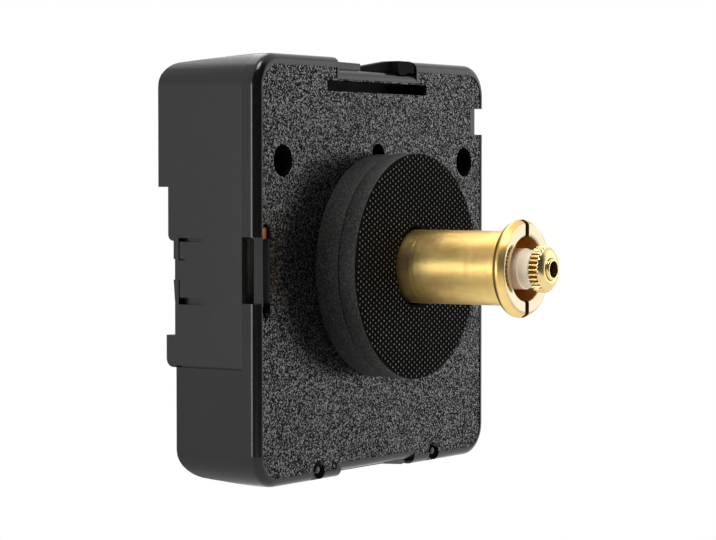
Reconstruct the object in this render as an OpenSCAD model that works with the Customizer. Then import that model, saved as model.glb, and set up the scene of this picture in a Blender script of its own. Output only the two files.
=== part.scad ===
// Quartz clock movement with a long brass centre fixing.
// Origin on the shaft axis at the front face of the case, +Y into the case, +Z up, hands on the -Y side.

/* [Case] */
// Width and height of the square case
case_w = 56; // [56:0.5:60]
// Depth from the front face to the back
case_d = 16; // [16:0.1:17]
// Corner radius seen from the front
corner_r = 4.4; // [3.5:0.1:5]
// Rounding along the front edge
edge_r = 1.15; // [0.8:0.05:1.3]
// Thickness of the outer walls
wall = 1.2; // [1:0.05:1.4]
// Depth of the front case's skirt, where the rear cover meets it
skirt_d = 2.5; // [2.4:0.05:2.6]
// Height of the seam between rear cover and battery box, below the shaft
seam_z = -12.7; // [-12.9:0.05:-12.5]
// Depth of the battery box
box_d = 13.1; // [12.8:0.1:13.6]
// Depth of the grained panel behind the front rim
panel_d = 0.1; // [0.08:0.02:0.12]

/* [Centre fixing] */
// Radius of the inner rubber washer
washer_r = 15.1; // [13:0.1:15.5]
// Thickness of the inner washer
washer_t = 3.5; // [3:0.1:4]
// Radius of the outer rubber washer
face_r = 15.25; // [13:0.05:15.5]
// Thickness of the outer washer
face_t = 2.95; // [2:0.05:3]
// Outer radius of the sleeve nut's tube
sleeve_r = 4.95; // [4.8:0.05:5.2]
// Radius of the sleeve nut's flange
flange_r = 6.48; // [6:0.1:7]
// Distance from the case to the sleeve nut's outer face
sleeve_end = 23.3; // [23:0.1:24]
// Radius of the threaded bush
bush_r = 4; // [3.9:0.05:4.1]

/* [Hand shafts] */
// Radius of the hour pipe inside the bush
hour_r = 2.7; // [2.65:0.05:2.8]
// Radius of the hour hand's seat at the end of the pipe
seat_r = 2.5; // [2.45:0.05:2.5]
// Distance from the case to the shoulder behind that seat
seat_start = 23.2; // [23:0.1:23.3]
// Distance from the case to the end of the hour pipe
hour_end = 24.8; // [24.5:0.1:25]
// Radius of the minute arbor
minute_r = 1.75; // [1.7:0.05:1.75]
// Distance from the case to the end of the minute arbor
minute_end = 27.3; // [27:0.1:27.5]
// Radius of the knurled hand nut
nut_r = 3.05; // [2.9:0.05:3.2]
// Radial gap of every shaft in its bearing
run = 0.06; // [0.04:0.01:0.08]

/* [Gear train] */
// Teeth of the rotor pinion and of the pinion on the intermediate wheel
small_teeth = 10; // [10:1:10]
// Teeth of the pinions on the seconds and third wheels
pinion_teeth = 8; // [8:1:8]
// Teeth of the intermediate and third wheels
wheel_teeth = 60; // [60:1:60]
// Teeth of the seconds wheel
seconds_teeth = 50; // [50:1:50]
// Teeth of the centre wheel
centre_teeth = 64; // [64:1:64]
// Teeth of the cannon pinion and the setting pinion
cannon_teeth = 12; // [12:1:12]
// Teeth of the motion wheel
motion_teeth = 36; // [36:1:36]
// Teeth of the hour wheel
hour_teeth = 40; // [40:1:40]

/* [Hidden] */
$fn = 48;
half = case_w / 2;
eps = 0.05;

// Outside of the case, in depth and height
back_y = case_d;
back_top = half - 1;
box_bottom = 0.8 - half;
top_round = 2.7;
box_round = 3.7;

// Inside of the case
floor_y = 1.4;
inner_x = half - wall;
inner_back = case_d - 1.25;
bay_x = 26.4;
bay_low = -26.6;
bay_high = -12;
chamber_low = -11;
lip_d = 4;

// Side bands of the rear cover: their depths, and the heights where they change
band_x = 22;
band_y = [14.7, 13.3, 14.4];
band_z = [-8.5, 3.75, 10.75];
band_inner = 12;
seam_gap = 0.25;

// Side latches, as [low z, high z, depth at the low end], and the ramps beside them
latch_z = [[-4.03, -1.3, 13.4], [1.39, 3.94, 13.6]];
latch_y = 13.6;
groove_y = [12.52, 12.7];
groove_d = 0.7;
ramp_z = [[-4.5, -3.6], [3.65, 4.15]];
ramp_y = 8.05;
ramp_d = 0.9;

// Openings in the front face
pin_hole_r = 2.07;
pin_hole_x = 22.3;
pin_hole_z = 14.17;
mid_hole_r = 1.5;
mid_hole_z = 15.1;
top_recess_x = 9.6;
top_recess_z = 26.4;
top_lip_r = 1.3;
low_recess_x = 9.1;
low_recess_z = -27.25;
recess_d = 9.3;
notch_d = 1.77;
slot_at = [-26.03, 0.05];
slot_half = 5.12;
slot_r = 0.93;
window_z = [-4.15, 4.35];
window_d = 1.33;

// Depths of the plates and gear layers
plate_y = [5.4, 6.6];
bridge_y = [12.9, 13.8];
motion_y = [3.95, 4.85];
hour_y = [2.5, 3.5];
centre_y = [7, 7.8];
third_y = [8.9, 9.5];
seconds_y = [10.5, 11.1];
inter_y = [11.8, 12.4];
magnet_y = [8.6, 11.2];
stator_y = [9.9, 10.7];
board_y = [7.6, 8.4];

// Shaft positions, as [x, z]
centre = [0, 0];
third_at = polar(centre, 6.8, 180);
inter_at = polar(centre, 6.9, 75);
rotor_at = polar(inter_at, 7, 150);
motion_at = polar(centre, 7.5, -30);
setting_at = polar(motion_at, 7.5, -10);

// Tooth sizes that give those centre distances
third_m = 2 * 6.8 / (pinion_teeth + wheel_teeth);
centre_m = 2 * 6.8 / (pinion_teeth + centre_teeth);
seconds_m = 2 * 6.9 / (small_teeth + seconds_teeth);
inter_m = 2 * 7 / (small_teeth + wheel_teeth);
cannon_m = 2 * 7.5 / (cannon_teeth + motion_teeth);
hour_m = 2 * 7.5 / (small_teeth + hour_teeth);

pivot_r = 0.4;
seconds_r = 0.45;
motion_post_r = 0.8;
setting_r = 0.9;
journal_r = 1.4;
clutch_r = 1.2;
stud_r = 1.45;
bore_r = 1.1;
rotor_r = 2.45;
rotor_hole_r = 2.95;

// Plate posts and bridge posts
plate_posts = [[-22.5, -8], [22.5, -8], [0, 21.5]];
bridge_posts = [[-12.5, -7], [4.5, -8.5], [9.5, 12.5]];
stator_posts = [[-15, 13.4], [-3.4, 15.8]];
board_pins = [[9.6, 17.4], [23.2, 17.4], [16, 23.4]];
coil_z = 19.6;
coil_y = 11.5;
coil_x = [-20, -6];

// Setting knob on the back
knob_r = 4.6;
well_r = 5.4;
well_floor = 13.4;

function polar(from, r, a) = [from[0] + r * cos(a), from[1] + r * sin(a)];
function arc(c, r, a0, a1, n) =
    [for (i = [0:n]) [c[0] + r * cos(a0 + (a1 - a0) * i / n), c[1] + r * sin(a0 + (a1 - a0) * i / n)]];
function heading(from, to) = atan2(to[1] - from[1], to[0] - from[0]);

// Angle of a driven gear's first tooth, so that it meshes with a gear whose first tooth is at a0
function mesh_at(from, to, a0, n0, n1) =
    heading(from, to) + 180 + (180 - (a0 - heading(from, to)) * n0) / n1;

// Outline of a square case section with rounded corners
function case_outline(x, low, high, r_low, r_high) = concat(
    r_high > 0 ? arc([x - r_high, high - r_high], r_high, 0, 90, 8) : [[x, high]],
    r_high > 0 ? arc([r_high - x, high - r_high], r_high, 90, 180, 8) : [[-x, high]],
    r_low > 0 ? arc([r_low - x, low + r_low], r_low, 180, 270, 8) : [[-x, low]],
    r_low > 0 ? arc([x - r_low, low + r_low], r_low, 270, 360, 8) : [[x, low]]
);

// A flat outline in x and z, given thickness from y0 to y1
module slab(y0, y1) {
    translate([0, y1, 0]) rotate([90, 0, 0]) linear_extrude(y1 - y0) children();
}

// An outline in y and z, given thickness from x0 to x1
module across(x0, x1) {
    translate([x0, 0, 0]) rotate([90, 0, 90]) linear_extrude(x1 - x0) children();
}

// An outline in x and y, given thickness from z0 to z1
module upright(z0, z1) {
    translate([0, 0, z0]) linear_extrude(z1 - z0) children();
}

// Its children on the right, and mirrored on the left
module both_sides() {
    for (side = [-1, 1]) scale([side, 1, 1]) children();
}

module rod(r, y0, y1, at = centre) {
    translate([at[0], y0, at[1]]) rotate([-90, 0, 0]) cylinder(r = r, h = y1 - y0);
}

// A turned shape about a shaft, from [radius, y] points
module turned(points, at = centre) {
    translate([at[0], 0, at[1]]) rotate([-90, 0, 0]) rotate_extrude() polygon(points);
}

module block(x, y, z) {
    translate([x[0], y[0], z[0]]) cube([x[1] - x[0], y[1] - y[0], z[1] - z[0]]);
}

// A gear outline with straight-sided teeth, the first one at angle a0
module gear_outline(teeth, m, a0, tip = 0.8, root = 1.15) {
    r = teeth * m / 2;
    step = 360 / teeth;
    polygon([
        for (i = [0:teeth - 1])
            for (p = [[-0.26, -root], [-0.1, tip], [0.1, tip], [0.26, -root]])
                let (a = a0 + (i + p[0]) * step, q = r + p[1] * m)
                    [q * cos(a), q * sin(a)]
    ]);
}

module gear(teeth, m, y, at, a0) {
    translate([at[0], 0, at[1]]) slab(y[0], y[1]) gear_outline(teeth, m, a0);
}

// A disc with fine ribs round its rim
module ribbed_disc(r, ribs, depth, y, at = centre) {
    translate([at[0], 0, at[1]]) slab(y[0], y[1]) polygon([
        for (i = [0:2 * ribs - 1])
            let (a = 180 * i / ribs, q = i % 2 == 0 ? r : r - depth)
                [q * cos(a), q * sin(a)]
    ]);
}

// One corner of the front plate, with its rounded front edge
module plate_corner(x, z) {
    translate([x, 0, z]) rotate([-90, 0, 0]) rotate_extrude($fn = 32)
        polygon(concat([[0, skirt_d], [0, 0]],
            arc([corner_r - edge_r, edge_r], edge_r, 270, 360, 9), [[corner_r, skirt_d]]));
}

module front_plate() {
    reach = half - corner_r;
    hull() for (x = [-reach, reach]) for (z = [-reach, reach]) plate_corner(x, z);
}

// The battery box behind the plate, with its drafted and rounded floor
module battery_box() {
    intersection() {
        slab(skirt_d - eps, box_d)
            polygon(case_outline(half, -half, seam_z, corner_r, 0));
        across(-half, half) polygon(concat(
            [[skirt_d - eps, seam_z], [skirt_d - eps, -half]],
            arc([box_d - box_round, box_bottom + box_round], box_round, 270, 360, 8),
            [[box_d, seam_z]]
        ));
    }
}

// The rounding that a recess in the rim has along its front edge
module rim_round(x0, x1, z, up, r) {
    across(x0, x1) polygon(concat(
        [[-eps, z + up * eps]],
        [for (p = arc([r, 0], r, 90, 180, 8)) [p[0], z + up * (p[1] - r)]],
        [[-eps, z - up * (r + eps)]]
    ));
}

// The sunk panel of the front face, which keeps clear of the two recesses
module front_panel() {
    slab(-1, panel_d) difference() {
        polygon(case_outline(half - edge_r, edge_r - half, 26.6, corner_r - edge_r, corner_r - edge_r));
        translate([-9.95, 25.05]) square([19.9, 3]);
        translate([-10.2, -29.1]) square([20.4, 3]);
    }
}

// Slot beside the left latch, narrower along its middle
module latch_slot() {
    top = slot_at[1] + slot_half;
    low = slot_at[1] - slot_half;
    slab(-1, floor_y + 1) polygon(concat(
        arc([slot_at[0], top], slot_r, 0, 180, 10),
        [[slot_at[0] - slot_r, 4.55], [-26.7, 4.55], [-26.7, -4.5], [slot_at[0] - slot_r, -4.5]],
        arc([slot_at[0], low], slot_r, 180, 360, 10)));
}

// A low wall inside the skirt that the rear cover fits over
module inner_lip() {
    difference() {
        slab(floor_y - eps, lip_d) difference() {
            polygon(case_outline(inner_x - eps, chamber_low + eps, inner_x - eps, 0, corner_r - wall));
            polygon(case_outline(inner_x - 0.8, chamber_low - 1, inner_x - 0.8, 0, corner_r - 2));
        }
        block([-12.9, 12.9], [floor_y, lip_d + 1], [20, half]);
        block([-half, -20], [floor_y, lip_d + 1], [-6.6, 6.6]);
        block([20, half], [floor_y, lip_d + 1], [17.8, 22.2]);
    }
}

// Small bosses and posts on the inside of the front plate
module front_posts() {
    for (at = plate_posts) rod(1.9, floor_y - eps, plate_y[0], at);
    for (x = [-pin_hole_x, pin_hole_x]) rod(3.1, floor_y - eps, 4.6, [x, pin_hole_z]);
    rod(2.4, floor_y - eps, 4, [0, mid_hole_z]);
    rod(motion_post_r, floor_y - eps, plate_y[0] + 0.4, motion_at);
    rod(2, floor_y - eps, 3.2, setting_at);
}

module front_openings() {
    for (x = [-pin_hole_x, pin_hole_x]) rod(pin_hole_r, -1, 4, [x, pin_hole_z]);
    rod(mid_hole_r, -1, 3.2, [0, mid_hole_z]);
    rod(bush_r + 0.03, -1, floor_y + 1);
    rod(setting_r + run, 1.9, 4, setting_at);
    for (at = plate_posts) rod(0.8, 2.2, plate_y[0] + 1, at);
    front_panel();
    // Long slot under the top recess
    block([-12.2, 12.2], [-1, floor_y + 0.2], [23.4, 24.85]);
    // Slot and window beside the left latch
    latch_slot();
    block([-half - 1, -27], [-1, skirt_d + 1], window_z);
    block([-half - 1, -26], [window_d, skirt_d + 1], window_z);
    // Notch in the right-hand rim
    block([24.1, half + 1], [-1, notch_d], [18.13, 21.86]);
    // Recess for the top latch
    block([-top_recess_x, top_recess_x], [-1, skirt_d + 1], [top_recess_z, half + 1]);
    rim_round(-top_recess_x, top_recess_x, top_recess_z, 1, top_lip_r);
    block([5.2, 7.6], [-1, skirt_d + 1], [top_recess_z - 0.45, top_recess_z + 1]);
    // Recess along the bottom edge
    block([-low_recess_x, low_recess_x], [-1, skirt_d + 1], [-half - 1, low_recess_z]);
    rim_round(-low_recess_x, low_recess_x, low_recess_z, -1, edge_r);
    // Arched notches at the bottom edge
    for (x = [-14.2, 14.2]) slab(-1, 1) polygon(concat(
        arc([x, -26.6], 1.25, 0, 180, 8), [[x - 1.25, -half - 1], [x + 1.25, -half - 1]]));
}

module front_case() color([0.16, 0.16, 0.17]) {
    difference() {
        union() {
            difference() {
                union() {
                    front_plate();
                    battery_box();
                }
                block([-inner_x, inner_x], [floor_y, skirt_d + 1], [chamber_low, 25.2]);
                slab(floor_y, skirt_d + 1) difference() {
                    polygon(case_outline(inner_x, chamber_low, inner_x, 0, corner_r - wall));
                    polygon([[-10.8, 25.2], [10.8, 25.2], [10.8, half], [-10.8, half]]);
                }
                block([-bay_x, bay_x], [floor_y, case_d], [bay_low, bay_high]);
            }
            // Solid stock behind the right-hand notch
            block([23, inner_x + eps], [floor_y - eps, skirt_d], [17.1, 22.9]);
            inner_lip();
            front_posts();
        }
        front_openings();
    }
    // Glossy pins in the arched notches, and the catch in the bottom recess
    for (x = [-14.2, 14.2]) rod(0.45, 0.3, 1 + eps, [x, -26.6]);
    slab(1, skirt_d) polygon([[3, low_recess_z + eps], [3, -27.45], [7.2, -27.9], [9, -27.6],
        [9, low_recess_z + eps]]);
}

// Outer form of the rear cover, drafted towards the back
module cover_form() {
    intersection() {
        slab(skirt_d, back_y) polygon(case_outline(half, seam_z, half, 0, corner_r));
        across(-half, half) polygon(concat(
            [[skirt_d, seam_z], [back_y, seam_z]],
            arc([back_y - top_round, back_top - top_round], top_round, 0, 90, 8),
            [[skirt_d, half]]
        ));
    }
}

module cover_chamber() {
    difference() {
        intersection() {
            slab(skirt_d - 1, inner_back)
                polygon(case_outline(inner_x, chamber_low, inner_x, 0, corner_r - wall));
            across(-half, half) polygon([
                [skirt_d - 1, chamber_low], [inner_back, chamber_low], [inner_back, back_top - 3],
                [inner_back - 1.5, back_top - wall - 0.1], [lip_d + 0.3, half - wall],
                [skirt_d - 1, half - wall]
            ]);
        }
        // Floor under the side bands
        both_sides() block([band_x - 1.2, half], [band_inner, case_d], [chamber_low - 1, 11.95]);
        // Roof under the top recess, and the web that closes the long slot from behind
        block([-10.8, 10.8], [skirt_d - 1, recess_d + 1], [top_recess_z - wall, half]);
        block([-12.6, 16.6], [4.2, 5], [23.5, top_recess_z - wall + eps]);
        // Wall of the knob well
        rod(well_r + 1.1, well_floor - 1, case_d, setting_at);
        // Stiffening ribs inside the back
        for (z = [17.4, 22.6]) block([13, 24], [inner_back - 1, case_d], [z, z + 0.9]);
    }
}

// Outline in y and z of what the stepped bands lack behind them
function behind_bands() = concat(
    [[case_d + 1, band_z[2]], [band_y[2], band_z[2]]],
    arc([band_y[2] - 0.8, band_z[1] + 0.8], 0.8, 0, -90, 6),
    [[band_y[1], band_z[1]], [band_y[1], band_z[0]], [band_y[0], band_z[0]]],
    arc([band_y[0] - 1.1, seam_z + 1.1], 1.1, 0, -90, 6),
    [[band_y[0] - 1.1, seam_z - 1], [case_d + 1, seam_z - 1]]
);

module rear_cover() color([0.17, 0.17, 0.175]) {
    difference() {
        cover_form();
        cover_chamber();
        // The roof of the battery bay lies a little above the seam
        block([-bay_x + 0.4, bay_x - 0.4], [0, case_d + 1], [seam_z - 1, bay_high]);
        // Stepped bands down both sides of the back
        both_sides() across(band_x, half + 1) polygon(behind_bands());
        // Groove of the seam above the battery box
        both_sides() block([half - 0.6, half + 1], [skirt_d - 1, box_d], [seam_z - 1, seam_z + seam_gap]);
        // Recess over the top latch
        block([-top_recess_x, top_recess_x], [0, recess_d], [top_recess_z, half + 1]);
        // Ramps beside the side latches, and the groove behind each latch
        both_sides() for (z = ramp_z) upright(z[0], z[1]) polygon([[half + 1, ramp_y], [half, ramp_y],
            [half - ramp_d, groove_y[1]], [half + 1, groove_y[1]]]);
        both_sides() for (z = latch_z) {
            block([half - groove_d, half + 1], groove_y, [z[0] - 0.15, z[1]]);
            block([half - groove_d, half + 1], [groove_y[0] - 0.8, groove_y[1]], [z[0] - 0.15, z[0]]);
        }
        // Well and bearing hole for the setting knob
        rod(well_r, well_floor, case_d + 1, setting_at);
        rod(setting_r + run, well_floor - 2, case_d, setting_at);
        // Passages for the battery contacts
        for (x = [-26.5, 25.7]) block([x, x + 0.8], [4.9, 7.8], [seam_z - 1, chamber_low + 0.5]);
        // Shallow finger grooves above the battery
        for (x = [-6:4:6]) block([x, x + 1.6], [case_d - 0.5, case_d + 1], [-9.4, -2.2]);
    }
    // Raised ends of the side latches, set in a little from the side
    both_sides() for (z = latch_z) across(26.7, half - 0.1)
        polygon([[band_y[1] - eps, z[0]], [z[2], z[0]], [latch_y, z[1]], [band_y[1] - eps, z[1]]]);
    // Top latch: a root block, a tapering tongue and a chamfered head
    slab(1.3, recess_d) polygon([[-9.5, 26.45], [-2.6, 26.45], [-2.6, 27.35], [-9.5, 27.45]]);
    slab(1.5, 2.9) polygon([[-2.7, 26.45], [5.3, 26.45], [5.3, 28], [-2.7, 26.9]]);
    slab(0.2, 2.9) polygon([[5.2, 26.45], [5.6, 26.1], [7.2, 26.1], [7.5, 26.45],
        [9.2, 26.45], [9.2, 27.3], [8.3, 28], [5.2, 28]]);
}

// Brass bush: flange inside the case, threaded stem outside
module centre_bush() color([0.78, 0.62, 0.33]) {
    pitch = 0.75;
    end = -19.2;
    threads = floor((-4 - end) / pitch);
    turned(concat(
        [[hour_r + run, 2.2], [hour_r + run, end], [bush_r - 0.5, end]],
        [for (i = [0:threads - 1]) let (y = end + 0.2 + i * pitch)
            each [[bush_r - 0.38, y], [bush_r, y + 0.3], [bush_r, y + 0.45]]],
        [[bush_r, floor_y], [6, floor_y], [6, 2.2]]
    ));
}

// Two rubber washers between the case and the dial
module inner_washer() color([0.13, 0.13, 0.13]) {
    turned([
        [bush_r + 0.2, panel_d], [bush_r + 0.2, -washer_t], [washer_r - 0.25, -washer_t],
        [washer_r, -washer_t + 0.2], [washer_r, panel_d - 0.15], [washer_r - 0.2, panel_d]
    ]);
}

module outer_washer() color([0.11, 0.11, 0.11]) {
    front = -washer_t - face_t;
    turned([
        [5.45, -washer_t], [5.45, front], [face_r - 0.2, front],
        [face_r, front + 0.2], [face_r, -washer_t - 0.2], [face_r - 0.25, -washer_t]
    ]);
}

// Sleeve nut: threaded tube with a slotted flange
module sleeve_nut() color([0.8, 0.64, 0.34]) {
    thread_r = bush_r + run;
    mouth_r = 4.23;
    mouth_y = -19.6;
    back = -washer_t - 0.05;
    difference() {
        turned(concat(
            [[thread_r, back], [thread_r, mouth_y], [mouth_r, mouth_y], [mouth_r, 0.35 - sleeve_end],
                [mouth_r + 0.35, -sleeve_end]],
            [[5.6, -sleeve_end], [6.2, 0.45 - sleeve_end], [flange_r, 1 - sleeve_end]],
            [[flange_r, 1.35 - sleeve_end], [flange_r - 0.4, 1.75 - sleeve_end],
                [sleeve_r + 0.3, 1.75 - sleeve_end], [sleeve_r, 2.05 - sleeve_end]],
            [[sleeve_r, back - 0.3], [sleeve_r - 0.3, back]]
        ));
        // Spanner slots at top and bottom
        block([-0.48, 0.48], [-sleeve_end - 1, 1.1 - sleeve_end], [-8, 8]);
    }
}

module middle_plate() color([0.82, 0.82, 0.78]) {
    difference() {
        union() {
            slab(plate_y[0], plate_y[1]) polygon(case_outline(25.4, -10.5, 24.6, 1, 2.5));
            for (at = bridge_posts) rod(1.5, plate_y[1] - eps, bridge_y[0], at);
            for (at = stator_posts) rod(1.2, plate_y[1] - eps, stator_y[0], at);
            for (at = board_pins) {
                rod(1.1, plate_y[1] - eps, board_y[0], at);
                rod(0.6, plate_y[1] - eps, board_y[1] + 0.5, at);
            }
        }
        rod(journal_r + run, 0, case_d);
        for (at = [third_at, inter_at, rotor_at]) rod(pivot_r + run, 0, case_d, at);
        rod(setting_r + run, 0, case_d, setting_at);
        rod(motion_post_r, 0, plate_y[0] + 0.4, motion_at);
        for (at = plate_posts) rod(0.8, 0, plate_y[1] + 1, at);
        for (at = bridge_posts) rod(0.6, bridge_y[0] - 3, case_d, at);
    }
}

module train_bridge() color([0.86, 0.86, 0.82]) {
    difference() {
        slab(bridge_y[0], bridge_y[1]) polygon([
            [-14.5, -9], [6.5, -10.3], [6.9, -4], [6.6, 2], [11.6, 10.6], [11.4, 14.6],
            [-7, 14.6], [-9.5, 6], [-14.5, -3]
        ]);
        rod(seconds_r + run, 0, case_d);
        for (at = [third_at, inter_at, rotor_at]) rod(pivot_r + run, 0, case_d, at);
        for (at = bridge_posts) rod(0.6, 0, case_d, at);
    }
}

module screw(at, head_y, tip_y, shank_r, head_r) {
    rod(shank_r, tip_y, head_y + 0.2, at);
    difference() {
        rod(head_r, head_y, head_y + 0.75, at);
        translate([at[0], head_y + 0.4, at[1]]) rotate([0, 35, 0])
            block([-0.18, 0.18], [0, 1], [-3, 3]);
    }
}

module plate_screws() color([0.72, 0.72, 0.74]) {
    for (at = plate_posts) screw(at, plate_y[1], 2.3, 0.8, 1.6);
}

module bridge_screws() color([0.72, 0.72, 0.74]) {
    for (at = bridge_posts) screw(at, bridge_y[1], bridge_y[0] - 2.9, 0.6, 1.3);
}

module circuit_board() color([0.1, 0.36, 0.2]) {
    difference() {
        slab(board_y[0], board_y[1]) polygon([[8, 15.7], [24.8, 15.7], [24.8, 24.2], [8, 24.2]]);
        for (at = board_pins) rod(0.6, 0, case_d, at);
    }
}

module driver_chip() color([0.05, 0.05, 0.05]) {
    turned(concat([[0, board_y[1]], [2.4, board_y[1]]],
        [for (p = arc([0, 0], 1, 0, 90, 8)) [2.4 * p[0], board_y[1] + 0.95 * p[1]]]), [16.4, 19.1]);
}

module quartz_crystal() color([0.75, 0.76, 0.78]) {
    y = board_y[1] + 1.02;
    z = 22;
    translate([9.6, y, z]) rotate([0, 90, 0]) cylinder(r = 1, h = 4.6);
    translate([14.2, y, z]) rotate([0, 90, 0]) cylinder(r = 1.02, h = 0.6);
    for (dz = [-0.35, 0.35]) {
        translate([14.8, y, z + dz]) rotate([0, 90, 0]) cylinder(r = 0.15, h = 1.2);
        rod(0.15, board_y[1], y + 0.1, [16, z + dz]);
    }
}

module capacitor() color([0.72, 0.6, 0.42]) {
    block([20.4, 22], [board_y[1], board_y[1] + 0.8], [21.4, 22.2]);
    for (x = [20.15, 21.95]) block([x, x + 0.3], [board_y[1], board_y[1] + 0.85], [21.35, 22.25]);
}

// Motor coil: bobbin with square cheeks, winding and flat iron core
module coil_bobbin() color([0.88, 0.86, 0.8]) {
    cheek = 3.05;
    difference() {
        union() {
            translate([coil_x[0], coil_y, coil_z]) rotate([0, 90, 0]) cylinder(r = 1.7, h = coil_x[1] - coil_x[0]);
            for (x = [coil_x[0] - 0.8, coil_x[1]]) {
                block([x, x + 0.8], [coil_y - cheek, coil_y + cheek], [coil_z - cheek, coil_z + cheek]);
                block([x, x + 0.8], [plate_y[1], coil_y], [coil_z - 2, coil_z + 2]);
            }
        }
        block([-25, -1], [stator_y[1], stator_y[1] + 1.6], [coil_z - 1, coil_z + 1]);
    }
}

module coil_winding() color([0.72, 0.36, 0.2]) {
    translate([coil_x[0], coil_y, coil_z]) rotate([0, 90, 0]) difference() {
        cylinder(r = 2.9, h = coil_x[1] - coil_x[0]);
        translate([0, 0, -1]) cylinder(r = 1.7, h = coil_x[1] - coil_x[0] + 2);
    }
}

module coil_core() color([0.62, 0.63, 0.65]) {
    block([-23.6, -2.2], [stator_y[1], stator_y[1] + 1.6], [coil_z - 1, coil_z + 1]);
}

// Stator: an iron ring round the rotor with two legs to the ends of the core
module stator() color([0.6, 0.61, 0.63]) {
    slab(stator_y[0], stator_y[1]) difference() {
        union() {
            translate(rotor_at) circle(r = 4.3);
            polygon([[-7, 13.4], [-7.8, 9.6], [-23.6, 14.2], [-23.6, coil_z + 1], [-21, coil_z + 1], [-21, 16.4]]);
            polygon([[-5.2, 13.6], [-0.6, 12], [-2.2, coil_z + 1], [-4.8, coil_z + 1]]);
        }
        translate(rotor_at) circle(r = rotor_hole_r);
    }
}

// Battery contacts: a plate at each end of the bay and a strip up to the board
module positive_contact() color([0.8, 0.8, 0.8]) {
    block([26, 26.4], [3.4, 12.4], [-24, -13.2]);
    translate([26, 8.65, -19.3]) rotate([0, -90, 0]) cylinder(r1 = 2.6, r2 = 2, h = 0.3);
    block([26, 26.4], [5.1, 7.6], [-13.4, 17.6]);
    block([24.4, 26.4], [7.2, 7.6], [15.9, 17.6]);
}

module negative_contact() color([0.55, 0.39, 0.24]) {
    block([-26.4, -26], [3.4, 12.4], [-24, -13.2]);
    // Leaf that presses on the cell
    slab(7, 10.4) polygon([[-26.05, -23.6], [-26.05, -23], [-25.5, -19.6], [-25.9, -15.8], [-25.6, -15.8],
        [-25.2, -19.6], [-25.8, -23.6]]);
    block([-26.4, -26], [5.1, 7.6], [-13.4, 24]);
    block([-26.4, 10], [7.2, 7.6], [23.2, 24]);
    // Tab that shows in the slot of the front face
    block([-26.4, -26], [0.5, 5.2], [4.1, 5.6]);
    block([-26.4, -25.3], [0.5, 0.9], [4.1, 5.6]);
}

module rotor_magnet() color([0.3, 0.3, 0.32]) {
    turned([[0.9, magnet_y[0]], [rotor_r, magnet_y[0]], [rotor_r, magnet_y[1]], [0.9, magnet_y[1]]], rotor_at);
}

module rotor_arbor() color([0.86, 0.82, 0.72]) {
    turned([
        [0, 5.7], [pivot_r, 5.7], [pivot_r, 6.9], [0.9, 7.1], [0.9, magnet_y[1]], [1.2, magnet_y[1]],
        [1.2, 11.5], [0.7, 11.5], [0.7, 12.6], [pivot_r, 12.6], [pivot_r, bridge_y[1]], [0, bridge_y[1]]
    ], rotor_at);
    gear(small_teeth, inter_m, [11.6, 12.6], rotor_at, heading(rotor_at, inter_at));
}

module intermediate_wheel() color([0.9, 0.88, 0.8]) {
    turned([
        [0, 5.7], [pivot_r, 5.7], [pivot_r, 6.8], [0.5, 6.8], [0.5, 8.6], [0.8, 8.6], [0.8, 12.6],
        [pivot_r, 12.6], [pivot_r, bridge_y[1]], [0, bridge_y[1]]
    ], inter_at);
    gear(wheel_teeth, inter_m, inter_y, inter_at, mesh_at(rotor_at, inter_at,
        heading(rotor_at, inter_at), small_teeth, wheel_teeth));
    gear(small_teeth, seconds_m, [10.2, 11.4], inter_at, heading(inter_at, centre));
}

module seconds_wheel() color([0.9, 0.88, 0.8]) {
    difference() {
        union() {
            gear(seconds_teeth, seconds_m, seconds_y, centre,
                mesh_at(inter_at, centre, heading(inter_at, centre), small_teeth, seconds_teeth));
            gear(pinion_teeth, third_m, [8.7, 9.7], centre, heading(centre, third_at));
            turned([[0, 8.6], [0.56, 8.6], [0.56, 9.9], [1.3, 10.1], [1.3, 11.4], [0, 11.4]]);
        }
        rod(seconds_r, 0, case_d);
    }
}

module seconds_arbor() color([0.7, 0.71, 0.73]) {
    rod(seconds_r, -2.5, bridge_y[1]);
}

module third_wheel() color([0.88, 0.86, 0.78]) {
    turned([
        [0, 5.7], [pivot_r, 5.7], [pivot_r, 6.8], [0.5, 6.8], [0.5, 12.4],
        [pivot_r, 12.6], [pivot_r, bridge_y[1]], [0, bridge_y[1]]
    ], third_at);
    gear(pinion_teeth, centre_m, [6.85, 8.6], third_at, heading(third_at, centre));
    gear(wheel_teeth, third_m, third_y, third_at,
        mesh_at(centre, third_at, heading(centre, third_at), pinion_teeth, wheel_teeth));
    turned([[0, 8.6], [1.5, 8.6], [1.5, third_y[1] + 0.2], [0, third_y[1] + 0.2]], third_at);
}

module centre_wheel() color([0.88, 0.86, 0.78]) {
    difference() {
        union() {
            gear(centre_teeth, centre_m, centre_y, centre,
                mesh_at(third_at, centre, heading(third_at, centre), pinion_teeth, centre_teeth));
            rod(2, centre_y[0], 8.1);
        }
        rod(clutch_r + run, 0, case_d);
    }
}

// Three-armed friction spring between the centre wheel and the minute arbor
module clutch_spring() color([0.8, 0.7, 0.42]) {
    slab(6.7, 6.92) difference() {
        union() {
            circle(r = 1.8);
            for (a = [0:120:240]) rotate(a) translate([0, -0.4]) square([3.4, 0.8]);
        }
        circle(r = clutch_r);
    }
}

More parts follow.
